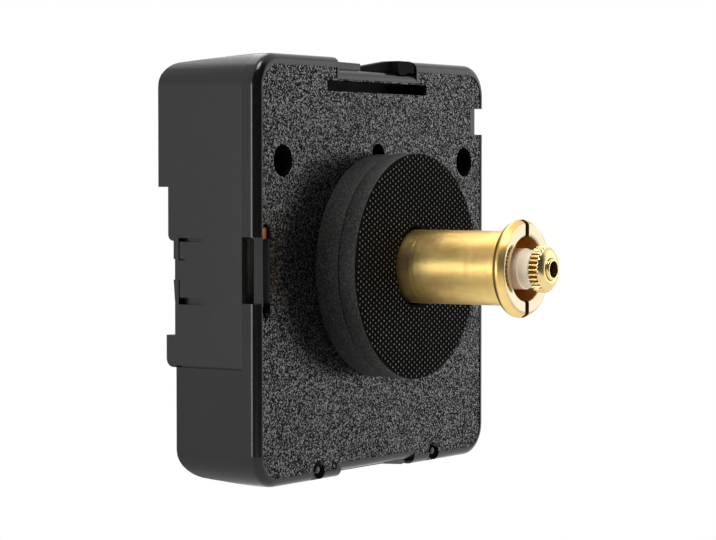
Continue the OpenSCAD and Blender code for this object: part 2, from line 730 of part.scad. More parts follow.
module minute_arbor() color([0.8, 0.66, 0.4]) {
    difference() {
        union() {
            turned([
                [0, -minute_end], [1.3, -minute_end], [stud_r, 0.15 - minute_end], [stud_r, 0.1 - hour_end],
                [minute_r, 0.1 - hour_end], [minute_r, 3.7], [journal_r, 3.8], [journal_r, 8.3], [0, 8.3]
            ]);
            rod(2.1, 4.93, 5.33);
            gear(cannon_teeth, cannon_m, motion_y, centre,
                mesh_at(motion_at, centre, heading(motion_at, centre), motion_teeth, cannon_teeth));
        }
        turned([[clutch_r, 6.66], [3, 6.66], [3, 9], [clutch_r, 9]]);
        rod(bore_r, -minute_end - 1, -3);
        rod(seconds_r + run, -4, 9);
    }
}

module hand_nut() color([0.84, 0.69, 0.38]) {
    low = -hour_end - 0.08;
    difference() {
        union() {
            ribbed_disc(nut_r, 28, 0.22, [-26.35, low]);
            turned(concat([[0, low], [2.6, low], [2.7, -26.3]],
                arc([1.5, -25.9], 1.25, -30, -90, 6), [[0, -27.15]]));
            turned([[0, -26.2], [2.86, -26.2], [2.7, -26.62], [2.35, -26.85], [0, -26.85]]);
        }
        rod(stud_r + run, -28, -24);
        turned([[2.02, -28], [2.02, -26.78], [2.3, -26.78], [2.5, -28]]);
    }
}

module motion_wheel() color([0.92, 0.9, 0.84]) {
    difference() {
        union() {
            gear(motion_teeth, cannon_m, motion_y, motion_at, heading(motion_at, centre));
            gear(small_teeth, hour_m, [2.45, motion_y[0] + eps], motion_at, heading(motion_at, centre));
        }
        rod(motion_post_r + run, 0, case_d, motion_at);
    }
}

// White hour wheel and the pipe that carries the hour hand
module hour_wheel() color([0.94, 0.92, 0.86]) {
    difference() {
        union() {
            gear(hour_teeth, hour_m, hour_y, centre,
                mesh_at(motion_at, centre, heading(motion_at, centre), small_teeth, hour_teeth));
            turned([
                [0, -hour_end], [seat_r - 0.2, -hour_end], [seat_r, 0.2 - hour_end],
                [seat_r, -seat_start], [hour_r, -seat_start], [hour_r, 2.55], [0, 2.55]
            ]);
        }
        rod(minute_r + run, -30, 6);
    }
}

module setting_arbor() color([0.9, 0.88, 0.82]) {
    turned([[0, 2], [setting_r, 2], [setting_r, 15.3], [0, 15.3]], setting_at);
    gear(cannon_teeth, cannon_m, motion_y, setting_at,
        mesh_at(motion_at, setting_at, heading(motion_at, centre), motion_teeth, cannon_teeth));
}

// Thumb knob in the back, with a plain pointer-free face and a ribbed rim
module setting_knob() color([0.9, 0.9, 0.88]) {
    difference() {
        union() {
            ribbed_disc(knob_r, 28, 0.3, [well_floor + 0.3, 15.7], setting_at);
            turned([[0, 15.6], [knob_r - 0.45, 15.6], [knob_r - 0.8, 15.9], [0, 15.9]], setting_at);
        }
        rod(setting_r, 0, 15.3, setting_at);
        turned([[1.6, 16], [1.6, 15.4], [3.2, 15.4], [3.2, 16]], setting_at);
    }
}

front_case();
rear_cover();
centre_bush();
inner_washer();
outer_washer();
sleeve_nut();
middle_plate();
train_bridge();
plate_screws();
bridge_screws();
circuit_board();
driver_chip();
quartz_crystal();
capacitor();
coil_bobbin();
coil_winding();
coil_core();
stator();
positive_contact();
negative_contact();
rotor_magnet();
rotor_arbor();
intermediate_wheel();
seconds_wheel();
seconds_arbor();
third_wheel();
centre_wheel();
clutch_spring();
minute_arbor();
hand_nut();
motion_wheel();
hour_wheel();
setting_arbor();
setting_knob();
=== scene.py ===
import math

import bmesh
import bpy
from mathutils import Matrix, Vector


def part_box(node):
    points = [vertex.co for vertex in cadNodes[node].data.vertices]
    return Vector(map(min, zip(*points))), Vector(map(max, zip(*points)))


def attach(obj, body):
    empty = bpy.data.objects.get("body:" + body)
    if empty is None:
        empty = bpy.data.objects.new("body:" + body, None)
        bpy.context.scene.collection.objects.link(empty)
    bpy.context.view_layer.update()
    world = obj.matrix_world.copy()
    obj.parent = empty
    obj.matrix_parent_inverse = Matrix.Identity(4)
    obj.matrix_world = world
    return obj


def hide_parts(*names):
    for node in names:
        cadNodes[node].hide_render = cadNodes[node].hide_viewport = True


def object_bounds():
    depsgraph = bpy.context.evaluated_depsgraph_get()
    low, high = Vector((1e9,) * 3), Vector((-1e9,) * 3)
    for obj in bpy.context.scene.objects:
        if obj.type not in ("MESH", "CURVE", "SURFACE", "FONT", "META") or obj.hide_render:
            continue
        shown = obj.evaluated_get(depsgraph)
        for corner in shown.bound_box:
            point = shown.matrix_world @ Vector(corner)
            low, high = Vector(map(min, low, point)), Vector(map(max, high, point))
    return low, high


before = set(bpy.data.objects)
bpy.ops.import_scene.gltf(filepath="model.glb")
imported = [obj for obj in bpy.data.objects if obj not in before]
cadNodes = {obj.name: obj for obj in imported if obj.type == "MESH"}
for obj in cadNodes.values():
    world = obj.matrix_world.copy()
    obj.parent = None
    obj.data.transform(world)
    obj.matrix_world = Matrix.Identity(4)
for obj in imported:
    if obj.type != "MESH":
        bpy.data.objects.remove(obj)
cadLow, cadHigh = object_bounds()
mm = 0.001
pureWhite = (1, 1, 1, 1)


def srgb(red, green, blue):
    # colours are noted as they look on screen, 0 to 255, and this undoes the screen's tone curve
    linear = [((c / 255 + 0.055) / 1.055) ** 2.4 if c > 10 else c / 3295 for c in (red, green, blue)]
    return tuple(linear) + (1,)


def addObject(name, data):
    made = bpy.data.objects.new(name, data)
    bpy.context.scene.collection.objects.link(made)
    return made


def meshFrom(name, bm):
    mesh = bpy.data.meshes.new(name)
    bm.to_mesh(mesh)
    bm.free()
    return mesh


# node groups that several finishes share

def startGroup(name, values, outputs):
    group = bpy.data.node_groups.new(name, "ShaderNodeTree")
    group.interface.new_socket("Vector", in_out="INPUT", socket_type="NodeSocketVector")
    for label, value in values.items():
        socket = group.interface.new_socket(label, in_out="INPUT", socket_type="NodeSocketFloat")
        socket.default_value = value
    for label, kind in outputs.items():
        group.interface.new_socket(label, in_out="OUTPUT", socket_type="NodeSocket" + kind)
    return group, group.nodes.new("NodeGroupInput"), group.nodes.new("NodeGroupOutput")


def mathNode(tree, operation, *values, clamp=False):
    node = tree.nodes.new("ShaderNodeMath")
    node.operation, node.use_clamp = operation, clamp
    for socket, value in zip(node.inputs, values):
        if isinstance(value, (int, float)):
            socket.default_value = value
        else:
            tree.links.new(value, socket)
    return node.outputs[0]


grainForm = {"detail": 0.6, "distortion": 0.5, "ridgeFoot": 0.525, "ridgeTop": 0.61,
             "speckDetail": 2.0, "speckScale": 2.3, "speckHeight": 0.9}


def makeGrainGroup():
    # eroded mould grain: winding ridges, wider valleys between them, and finer noise over both
    group, start, end = startGroup("mouldGrain", {"Scale": 3000.0, "Depth": 0.00003, "Strength": 1.0},
                                   {"Normal": "Vector", "Ridges": "Float"})
    waves, specks = (group.nodes.new("ShaderNodeTexNoise") for i in range(2))
    waves.inputs["Detail"].default_value = grainForm["detail"]
    waves.inputs["Distortion"].default_value = grainForm["distortion"]
    specks.inputs["Detail"].default_value = grainForm["speckDetail"]
    finer = mathNode(group, "MULTIPLY", start.outputs["Scale"], grainForm["speckScale"])
    for texture, scale in ((waves, start.outputs["Scale"]), (specks, finer)):
        group.links.new(start.outputs["Vector"], texture.inputs["Vector"])
        group.links.new(scale, texture.inputs["Scale"])
    ridges = group.nodes.new("ShaderNodeMapRange")
    ridges.interpolation_type = "SMOOTHSTEP"
    ridges.inputs["From Min"].default_value = grainForm["ridgeFoot"]
    ridges.inputs["From Max"].default_value = grainForm["ridgeTop"]
    group.links.new(waves.outputs["Fac"], ridges.inputs["Value"])
    height = mathNode(group, "MULTIPLY_ADD", specks.outputs["Fac"], grainForm["speckHeight"],
                      ridges.outputs["Result"])
    bump = group.nodes.new("ShaderNodeBump")
    group.links.new(height, bump.inputs["Height"])
    group.links.new(start.outputs["Depth"], bump.inputs["Distance"])
    group.links.new(start.outputs["Strength"], bump.inputs["Strength"])
    group.links.new(bump.outputs["Normal"], end.inputs["Normal"])
    group.links.new(ridges.outputs["Result"], end.inputs["Ridges"])
    return group


turnedForm = {"markDetail": 1, "stainDetail": 3, "stainRough": 0.6, "stainStretch": (1, 0.3, 1),
              "stainGain": 2.2, "stainShift": -0.7}


def makeTurnedGroup():
    # lathe marks round the Y axis lean the surface to and fro along it, with slow stains over them
    group, start, end = startGroup("turnedMarks", {"Marks": 9000.0, "Lean": 0.5, "Stain Scale": 300.0},
                                   {"Normal": "Vector", "Marks": "Float", "Stain": "Float"})
    apart = group.nodes.new("ShaderNodeSeparateXYZ")
    group.links.new(start.outputs["Vector"], apart.inputs[0])
    marks = group.nodes.new("ShaderNodeTexNoise")
    marks.noise_dimensions = "1D"
    marks.inputs["Detail"].default_value = turnedForm["markDetail"]
    group.links.new(apart.outputs["Y"], marks.inputs["W"])
    group.links.new(start.outputs["Marks"], marks.inputs["Scale"])
    signed = mathNode(group, "SUBTRACT", marks.outputs["Fac"], 0.5)
    lean = mathNode(group, "MULTIPLY", signed, start.outputs["Lean"])
    along = group.nodes.new("ShaderNodeCombineXYZ")
    group.links.new(lean, along.inputs["Y"])
    tilted, level = (group.nodes.new("ShaderNodeVectorMath") for i in range(2))
    level.operation = "NORMALIZE"
    group.links.new(group.nodes.new("ShaderNodeNewGeometry").outputs["Normal"], tilted.inputs[0])
    group.links.new(along.outputs[0], tilted.inputs[1])
    group.links.new(tilted.outputs[0], level.inputs[0])
    stretch = group.nodes.new("ShaderNodeMapping")
    stretch.inputs["Scale"].default_value = turnedForm["stainStretch"]
    group.links.new(start.outputs["Vector"], stretch.inputs["Vector"])
    stain = group.nodes.new("ShaderNodeTexNoise")
    stain.inputs["Detail"].default_value = turnedForm["stainDetail"]
    stain.inputs["Roughness"].default_value = turnedForm["stainRough"]
    group.links.new(stretch.outputs["Vector"], stain.inputs["Vector"])
    group.links.new(start.outputs["Stain Scale"], stain.inputs["Scale"])
    spread = mathNode(group, "MULTIPLY_ADD", stain.outputs["Fac"], turnedForm["stainGain"],
                      turnedForm["stainShift"], clamp=True)
    group.links.new(level.outputs[0], end.inputs["Normal"])
    group.links.new(marks.outputs["Fac"], end.inputs["Marks"])
    group.links.new(spread, end.inputs["Stain"])
    return group


cloudForm = {"detail": 4, "from": 0.3, "to": 0.7}


def makeCloudGroup():
    # slow unevenness that every finish has a little of
    group, start, end = startGroup("cloud", {"Scale": 120.0, "Low": 0.3, "High": 0.4},
                                   {"Value": "Float", "Cloud": "Float"})
    cloud = group.nodes.new("ShaderNodeTexNoise")
    cloud.inputs["Detail"].default_value = cloudForm["detail"]
    group.links.new(start.outputs["Vector"], cloud.inputs["Vector"])
    group.links.new(start.outputs["Scale"], cloud.inputs["Scale"])
    spread = group.nodes.new("ShaderNodeMapRange")
    spread.inputs["From Min"].default_value = cloudForm["from"]
    spread.inputs["From Max"].default_value = cloudForm["to"]
    group.links.new(cloud.outputs["Fac"], spread.inputs["Value"])
    group.links.new(start.outputs["Low"], spread.inputs["To Min"])
    group.links.new(start.outputs["High"], spread.inputs["To Max"])
    group.links.new(spread.outputs["Result"], end.inputs["Value"])
    group.links.new(cloud.outputs["Fac"], end.inputs["Cloud"])
    return group


grainGroup = makeGrainGroup()
turnedGroup = makeTurnedGroup()
cloudGroup = makeCloudGroup()


# finishes

def startMaterial(name):
    material = bpy.data.materials.new(name)
    material.use_nodes = True
    tree = material.node_tree
    place = tree.nodes.new("ShaderNodeTexCoord").outputs["Object"]
    return material, tree, tree.nodes["Principled BSDF"], place


def useGroup(tree, group, place, values):
    node = tree.nodes.new("ShaderNodeGroup")
    node.node_tree = group
    tree.links.new(place, node.inputs["Vector"])
    for label, value in values.items():
        node.inputs[label].default_value = value
    return node.outputs


def mixColours(tree, factor, first, second):
    mix = tree.nodes.new("ShaderNodeMix")
    mix.data_type = "RGBA"
    tree.links.new(factor, mix.inputs["Factor"])
    for socket, value in ((mix.inputs[6], first), (mix.inputs[7], second)):  # the colour sockets
        if isinstance(value, tuple):
            socket.default_value = value
        else:
            tree.links.new(value, socket)
    return mix.outputs[2]


def joinFinish(tree, shader, colour, rough, normal):
    tree.links.new(colour, shader.inputs["Base Color"])
    tree.links.new(rough, shader.inputs["Roughness"])
    tree.links.new(normal, shader.inputs["Normal"])


plasticClouds = 90.0  # scale of the unevenness


def blackPlastic(name, look):
    # satin moulded black, smooth or grained by its settings
    material, tree, shader, place = startMaterial(name)
    grain = useGroup(tree, grainGroup, place, {"Scale": look["grainScale"], "Depth": look["grainDepth"],
                                               "Strength": look["grainStrength"]})
    cloud = useGroup(tree, cloudGroup, place, {"Scale": plasticClouds, "Low": look["roughLow"],
                                               "High": look["roughHigh"]})
    colour = mixColours(tree, grain["Ridges"], look["dark"], look["light"])
    joinFinish(tree, shader, colour, cloud["Value"], grain["Normal"])
    shader.inputs["Specular IOR Level"].default_value = look["gloss"]
    if "coatRough" in look:
        # only the tops of the grain are polished
        tree.links.new(grain["Ridges"], shader.inputs["Coat Weight"])
        shader.inputs["Coat Roughness"].default_value = look["coatRough"]
        shader.inputs["Coat IOR"].default_value = look["coatIor"]
    return material


brassClouds = 500.0
markTint = 0.25  # how much of the marks' own colour shows


def brassFinish(name, look):
    material, tree, shader, place = startMaterial(name)
    turned = useGroup(tree, turnedGroup, place, {"Marks": look["marks"], "Lean": look["lean"],
                                                 "Stain Scale": look["stainScale"]})
    cloud = useGroup(tree, cloudGroup, place, {"Scale": brassClouds, "Low": look["roughLow"],
                                               "High": look["roughHigh"]})
    faded = mathNode(tree, "MULTIPLY", turned["Stain"], look["stainAmount"])
    colour = mixColours(tree, faded, look["clean"], look["stained"])
    lined = mixColours(tree, mathNode(tree, "MULTIPLY", turned["Marks"], markTint), colour, look["line"])
    joinFinish(tree, shader, lined, cloud["Value"], turned["Normal"])
    shader.inputs["Metallic"].default_value = 1
    return material


plainForm = {"grain": {"Scale": 4000.0, "Depth": 0.000004, "Strength": 0.5}, "clouds": 200.0,
             "smoother": 0.05, "rougher": 0.08}


def plainFinish(name, look):
    # one tone with a little cloud and grain, for small or inner pieces
    material, tree, shader, place = startMaterial(name)
    grain = useGroup(tree, grainGroup, place, plainForm["grain"])
    cloud = useGroup(tree, cloudGroup, place, {
        "Scale": plainForm["clouds"], "Low": look["rough"] - plainForm["smoother"],
        "High": look["rough"] + plainForm["rougher"]})
    colour = mixColours(tree, cloud["Cloud"], look["dark"], look["light"])
    joinFinish(tree, shader, colour, cloud["Value"], grain["Normal"])
    shader.inputs["Metallic"].default_value = look.get("metal", 0.0)
    return material


# moulded case and rubber: dark valleys and lighter ridges of the grain, which on the panel are also painted
# shade in the valleys and a painted highlight on the ridges
caseGloss = blackPlastic("caseGloss", {
    "dark": srgb(14, 14, 15), "light": srgb(18, 18, 19), "grainScale": 2500.0, "grainDepth": 0.000001,
    "grainStrength": 0.3, "roughLow": 0.14, "roughHigh": 0.2, "gloss": 0.4})
# the panel's light ridges are partly a painted highlight and its dark valleys partly painted shade, beside
# the grain's own tone
panelGrainAndSheen = blackPlastic("panelGrainAndSheen", {
    "dark": srgb(6, 6, 7), "light": srgb(42, 42, 47), "grainScale": 5600.0, "grainDepth": 0.00006,
    "grainStrength": 1.0, "roughLow": 0.34, "roughHigh": 0.42, "gloss": 0.03,
    "coatRough": 0.28, "coatIor": 1.95})
coverSatin = blackPlastic("coverSatin", {
    "dark": srgb(18, 18, 18), "light": srgb(22, 22, 21), "grainScale": 5000.0, "grainDepth": 0.000004,
    "grainStrength": 0.5, "roughLow": 0.26, "roughHigh": 0.28, "gloss": 0.38})
rubberRim = blackPlastic("rubberRim", {
    "dark": srgb(18, 18, 17), "light": srgb(54, 54, 51), "grainScale": 4200.0, "grainDepth": 0.00005,
    "grainStrength": 1.0, "roughLow": 0.5, "roughHigh": 0.6, "gloss": 0.45})
# the knurled face between the dots and the dots' sides: a darker, duller rubber, painted shade
shadedKnurlRubber = blackPlastic("shadedKnurlRubber", {
    "dark": srgb(6, 6, 5), "light": srgb(14, 14, 13), "grainScale": 6000.0, "grainDepth": 0.00001,
    "grainStrength": 0.6, "roughLow": 0.75, "roughHigh": 0.85, "gloss": 0.06})
# the dots' flat tops: a lighter rubber, painted highlight
knurlTipGlints = blackPlastic("knurlTipGlints", {
    "dark": srgb(84, 84, 77), "light": srgb(116, 116, 107), "grainScale": 3000.0, "grainDepth": 0.00002,
    "grainStrength": 0.6, "roughLow": 0.45, "roughHigh": 0.55, "gloss": 0.25})
# a dull black for the top latch's tongue and head, painted shade
paintedShadeBlack = blackPlastic("paintedShadeBlack", {
    "dark": srgb(15, 15, 14), "light": srgb(23, 23, 22), "grainScale": 4000.0, "grainDepth": 0.000004,
    "grainStrength": 0.4, "roughLow": 0.7, "roughHigh": 0.8, "gloss": 0.1})
# a lighter grey for the web seen through the long slot, painted light
paintedLightGrey = blackPlastic("paintedLightGrey", {
    "dark": srgb(48, 48, 45), "light": srgb(58, 58, 54), "grainScale": 4000.0, "grainDepth": 0.000004,
    "grainStrength": 0.4, "roughLow": 0.6, "roughHigh": 0.7, "gloss": 0.2})

# turned brass: outside, bright edges, flange face with a painted reflection, inside, and painted shade in
# gaps
brassTube = brassFinish("brassTube", {
    "clean": srgb(255, 225, 146), "stained": srgb(196, 140, 66), "line": srgb(246, 198, 114),
    "marks": 30000.0, "lean": 1.1, "stainScale": 260.0, "stainAmount": 0.8,
    "roughLow": 0.32, "roughHigh": 0.38})
brassBright = brassFinish("brassBright", {
    "clean": srgb(248, 224, 164), "stained": srgb(214, 176, 106), "line": srgb(236, 204, 132),
    "marks": 50000.0, "lean": 0.5, "stainScale": 700.0, "stainAmount": 0.5,
    "roughLow": 0.18, "roughHigh": 0.24})
# the flange face: a pale, cream brass that stands for a painted reflection of the white room
paleReflectBrassFace = brassFinish("paleReflectBrassFace", {
    "clean": srgb(205, 192, 164), "stained": srgb(197, 180, 146), "line": srgb(202, 187, 156),
    "marks": 9000.0, "lean": 0.1, "stainScale": 500.0, "stainAmount": 0.6,
    "roughLow": 0.06, "roughHigh": 0.12})
brassInner = brassFinish("brassInner", {
    "clean": srgb(236, 190, 112), "stained": srgb(206, 150, 74), "line": srgb(220, 170, 94),
    "marks": 12000.0, "lean": 0.8, "stainScale": 500.0, "stainAmount": 0.5,
    "roughLow": 0.36, "roughHigh": 0.44})
# darker brass for the slots and the rib gaps, painted shade
shadedBrassGap = brassFinish("shadedBrassGap", {
    "clean": srgb(126, 86, 32), "stained": srgb(74, 46, 14), "line": srgb(100, 68, 24),
    "marks": 12000.0, "lean": 0.6, "stainScale": 900.0, "stainAmount": 0.6,
    "roughLow": 0.45, "roughHigh": 0.55})

plainLooks = {
    "whitePlastic": {"dark": srgb(248, 232, 203), "light": srgb(254, 243, 220), "rough": 0.3},
    "gearPlastic": {"dark": srgb(224, 216, 192), "light": srgb(236, 230, 210), "rough": 0.4},
    "platePlastic": {"dark": srgb(206, 206, 198), "light": srgb(216, 216, 208), "rough": 0.45},
    "platedSteel": {"dark": srgb(180, 181, 184), "light": srgb(205, 206, 208), "rough": 0.24, "metal": 1.0},
    "stampedIron": {"dark": srgb(140, 141, 144), "light": srgb(170, 171, 173), "rough": 0.38, "metal": 1.0},
    "copperStrip": {"dark": srgb(132, 92, 54), "light": srgb(168, 122, 76), "rough": 0.36, "metal": 1.0},
    "magnetGrey": {"dark": srgb(58, 58, 62), "light": srgb(74, 74, 78), "rough": 0.5, "metal": 0.6},
    "boardGreen": {"dark": srgb(28, 92, 52), "light": srgb(36, 110, 62), "rough": 0.3},
    "chipResin": {"dark": srgb(16, 16, 16), "light": srgb(24, 24, 24), "rough": 0.22},
    "ceramicTan": {"dark": srgb(176, 146, 104), "light": srgb(190, 160, 118), "rough": 0.5},
}
plain = {name: plainFinish(name, look) for name, look in plainLooks.items()}

wireLook = {"gap": srgb(120, 52, 22), "top": srgb(200, 108, 54), "turns": 1800, "depth": 0.00005,
            "metal": 0.8, "rough": 0.32}


def woundCopper():
    # enamelled wire: fine turns across the coil's axis, which lies along X
    material, tree, shader, place = startMaterial("woundCopper")
    wave = tree.nodes.new("ShaderNodeTexWave")
    wave.bands_direction = "X"
    wave.inputs["Scale"].default_value = wireLook["turns"]
    tree.links.new(place, wave.inputs["Vector"])
    bump = tree.nodes.new("ShaderNodeBump")
    bump.inputs["Distance"].default_value = wireLook["depth"]
    tree.links.new(wave.outputs["Fac"], bump.inputs["Height"])
    tree.links.new(bump.outputs["Normal"], shader.inputs["Normal"])
    # the darker colour in the gaps between the turns is painted shade
    colour = mixColours(tree, wave.outputs["Fac"], wireLook["gap"], wireLook["top"])
    tree.links.new(colour, shader.inputs["Base Color"])
    shader.inputs["Metallic"].default_value = wireLook["metal"]
    shader.inputs["Roughness"].default_value = wireLook["rough"]
    return material


copperWire = woundCopper()
print("materials made")


# meshes, with sizes in mm and angles in degrees

def finishPiece(name, bm, materials, body, replaced, sharp=32):
    for face in bm.faces:
        face.smooth = True
    if sharp:
        for edge in bm.edges:
            edge.smooth = len(edge.link_faces) == 2 and edge.calc_face_angle(0) < math.radians(sharp)
    piece = addObject(name, meshFrom(name, bm))
    for material in materials:
        piece.data.materials.append(material)
    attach(piece, body)
    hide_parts(*replaced)
    return piece


def softenEdges(piece, width, angle=35):
    bevel = piece.modifiers.new("softEdges", "BEVEL")
    bevel.width, bevel.segments = width * mm, 2
    bevel.limit_method, bevel.angle_limit = "ANGLE", math.radians(angle)
    bevel.harden_normals = True
    level = piece.modifiers.new("flatFaces", "WEIGHTED_NORMAL")
    level.keep_sharp = True


nodeWeld = {"distance": 0.002, "flat": 0.6}


def dressNode(name, node, body, materials, soften, chooseSlot=None):
    # the solid's own form, welded and with softened edges
    bm = bmesh.new()
    bm.from_mesh(cadNodes[node].data)
    bmesh.ops.remove_doubles(bm, verts=bm.verts, dist=nodeWeld["distance"] * mm)
    bmesh.ops.dissolve_limit(bm, angle_limit=math.radians(nodeWeld["flat"]), verts=bm.verts, edges=bm.edges)
    if chooseSlot:
        for face in bm.faces:
            face.material_index = chooseSlot(face)
    softenEdges(finishPiece(name, bm, materials, body, [node], sharp=None), soften)


spinWeld = 0.0001


def spinProfile(points, steps):
    # points are radius and depth, as a closed outline
    bm = bmesh.new()
    ring = [bm.verts.new((r * mm, y * mm, 0)) for r, y in points]
    edges = [bm.edges.new(pair) for pair in zip(ring, ring[1:] + ring[:1])]
    bmesh.ops.spin(bm, geom=ring + edges, cent=(0, 0, 0), axis=(0, 1, 0), angle=math.tau,
                   steps=steps, use_merge=True)
    bmesh.ops.remove_doubles(bm, verts=bm.verts, dist=spinWeld * mm)
    bmesh.ops.recalc_face_normals(bm, faces=bm.faces)
    return bm


def shiftPoints(points, radius, depth):
    return [(radius + r, depth + y) for r, y in points]


def arcPoints(centre, radius, start, stop, count):
    turns = [math.radians(start + (stop - start) * i / count) for i in range(count + 1)]
    return [(centre[0] + radius * math.cos(a), centre[1] + radius * math.sin(a)) for a in turns]


def cutBox(piece, size, middle):
    # takes a box out of the piece and keeps the result as the piece's own mesh
    bm = bmesh.new()
    bmesh.ops.create_cube(bm, size=1, matrix=Matrix.Translation(middle * mm)
                          @ Matrix.Diagonal(size * mm).to_4x4())
    cutter = addObject("slotCutter", meshFrom("slotCutter", bm))
    cut = piece.modifiers.new("cut", "BOOLEAN")
    cut.operation, cut.object, cut.solver = "DIFFERENCE", cutter, "EXACT"
    made = bpy.data.meshes.new_from_object(piece.evaluated_get(bpy.context.evaluated_depsgraph_get()))
    piece.modifiers.remove(cut)
    piece.data = made
    bpy.data.objects.remove(cutter)


def radiusOf(point):
    # how far a point is from the shaft's axis
    return math.hypot(point.x, point.z)


# front case and rear cover keep their solids' form

casePanel = {"soften": 0.08, "facing": -0.99, "front": 0.05, "back": 0.12}


def panelSlot(face):
    # the grained panel is the flat face just behind the rim's front
    depth = face.calc_center_median().y
    inPanel = casePanel["front"] * mm < depth < casePanel["back"] * mm
    return 1 if face.normal.y < casePanel["facing"] and inPanel else 0


cover = {"soften": 0.1, "facing": -0.9, "webDepth": 5.2, "webReach": 17, "webLow": 23, "webHigh": 26,
         "latchLeft": -2.65, "latchRight": 9.3, "latchLow": 26.05, "latchDepth": 4.6}


def coverSlot(face):
    # the web behind the long slot gets a lighter grey, painted light; the top latch's tongue and head lie in
    # the dark and get a dull black, painted shade
    c, middle = cover, face.calc_center_median() / mm
    inWeb = abs(middle.x) < c["webReach"] and c["webLow"] < middle.z < c["webHigh"]
    if face.normal.y < c["facing"] and middle.y < c["webDepth"] and inWeb:
        return 2
    onLatch = c["latchLeft"] < middle.x < c["latchRight"]
    return 1 if onLatch and middle.z > c["latchLow"] and middle.y < c["latchDepth"] else 0


dressNode("frontCase", "front_case", "case", [caseGloss, panelGrainAndSheen],
          soften=casePanel["soften"], chooseSlot=panelSlot)
dressNode("rearCover", "rear_cover", "case", [coverSatin, paintedShadeBlack, paintedLightGrey],
          soften=cover["soften"], chooseSlot=coverSlot)
print("case made")

washers = {
    "radius": 15.1, "faceRadius": 15.25, "innerHole": 4.2, "hole": 5.45, "innerFront": -3.5,
    "outerFront": -6.45, "steps": 144, "edge": 0.12, "backEdge": 0.2, "edgeSteps": 3, "sharp": 50,
    "gap": 0.2, "gapDepth": 0.8,  # the open groove between them
    "dotPitch": 0.76, "dotTurn": 25.4, "dotFoot": 0.3, "dotTop": 0.15, "dotHeight": 0.16, "dotSides": 6,
    "dotSink": 0.02, "holeMargin": 0.16, "rimMargin": 0.26, "holeEnd": 0.02, "rimEnd": 0.05,
    "facing": 0.9,
}


def makeInnerWasher():
    w = washers
    r, front, edge, backEdge = w["radius"], w["innerFront"], w["edge"], w["backEdge"]
    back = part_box("inner_washer")[1].y / mm
    outline = [(w["innerHole"], back), (w["innerHole"], front)]
    outline += arcPoints((r - edge, front + edge), edge, 270, 360, w["edgeSteps"])
    outline += arcPoints((r - backEdge, back - backEdge), backEdge, 0, 90, w["edgeSteps"])
    finishPiece("innerWasher", spinProfile(outline, w["steps"]), [rubberRim], "case", ["inner_washer"])


def dotPlaces():
    # a triangular grid over the front, turned about the shaft
    w = washers
    turn, pitch = math.radians(w["dotTurn"]), w["dotPitch"]
    reach = int(w["faceRadius"] / pitch) + 3  # rows enough to pass the rim
    for row in range(-reach, reach + 1):
        for column in range(-reach, reach + 1):
            along = (column + 0.5 * row) * pitch
            across = row * pitch * math.sqrt(0.75)  # rows of equal triangles
            yield (along * math.cos(turn) - across * math.sin(turn),
                   along * math.sin(turn) + across * math.cos(turn))


def addDot(bm, x, z, front):
    w = washers
    middle = front - w["dotHeight"] / 2
    spot = Matrix.Translation((x * mm, (middle + w["dotSink"]) * mm, z * mm))
    lie = Matrix.Rotation(math.radians(90), 4, "X")
    dot = bmesh.ops.create_cone(bm, cap_ends=True, segments=w["dotSides"], radius1=w["dotFoot"] * mm,
                                radius2=w["dotTop"] * mm, depth=w["dotHeight"] * mm, matrix=spot @ lie)
    nearest, farthest = (w["hole"] + w["holeEnd"]) * mm, (w["faceRadius"] - w["rimEnd"]) * mm
    for vert in dot["verts"]:
        # dots at the hole and at the rim end with the face
        radius = radiusOf(vert.co)
        pull = min(max(radius, nearest), farthest) / radius
        vert.co.x, vert.co.z = vert.co.x * pull, vert.co.z * pull
    for face in {f for v in dot["verts"] for f in v.link_faces}:
        flat = abs(face.normal.y) > w["facing"] and face.calc_center_median().y < middle * mm
        # flat tops take the lighter rubber, a painted highlight, and the dots' sides the darker rubber,
        # painted shade
        face.material_index = 2 if flat else 1


def makeOuterWasher():
    w = washers
    r, back, front, edge = w["faceRadius"], w["innerFront"], w["outerFront"] + w["dotHeight"], w["edge"]
    outline = [(w["hole"], back), (w["hole"], front)]
    outline += arcPoints((r - edge, front + edge), edge, 270, 360, w["edgeSteps"])
    outline += arcPoints((r - edge, back - w["gap"] - edge), edge, 0, 90, w["edgeSteps"])
    outline += [(r - w["gapDepth"], back - w["gap"]), (r - w["gapDepth"], back)]
    bm = spinProfile(outline, w["steps"])
    # the front face between the dots takes the darker rubber, painted shade
    for face in bm.faces:
        face.material_index = 1 if face.normal.y < -w["facing"] else 0
    for x, z in dotPlaces():
        if w["hole"] + w["holeMargin"] < math.hypot(x, z) < r - w["rimMargin"]:
            addDot(bm, x, z, front)
    finishPiece("outerWasher", bm, [rubberRim, shadedKnurlRubber, knurlTipGlints], "case", ["outer_washer"],
                sharp=w["sharp"])


makeInnerWasher()
makeOuterWasher()
print("washers made")

# lists of points are radius and depth from the corner or face that they round
sleeve = {
    "back": -3.55, "tube": 4.95, "thread": 4.06, "mouth": 4.23, "mouthDepth": -19.6, "face": -23.3,
    "flange": 6.48, "steps": 160, "mouthEdge": [(0, 0.3), (0.12, 0.06), (0.3, 0)],
    "faceEdge": [(5.75, 0), (5.98, 0.06), (6.2, 0.32)], "bead": 0.62, "beadDepth": 0.98,
    "beadTurn": (318, 385), "beadSteps": 7, "beadFoot": (6.2, 1.62), "filletStart": (0.55, 1.74),
    "fillet": 0.4, "filletDepth": 2.14, "filletSteps": 5,
    "backEdge": [(0, -0.3), (-0.12, -0.08), (-0.3, 0)], "faceBand": 0.1,
    "slotWidth": 0.96, "slotDepth": 1.1, "slotLength": 14.96, "slack": 0.01, "soften": 0.05, "sharp": 50,
}


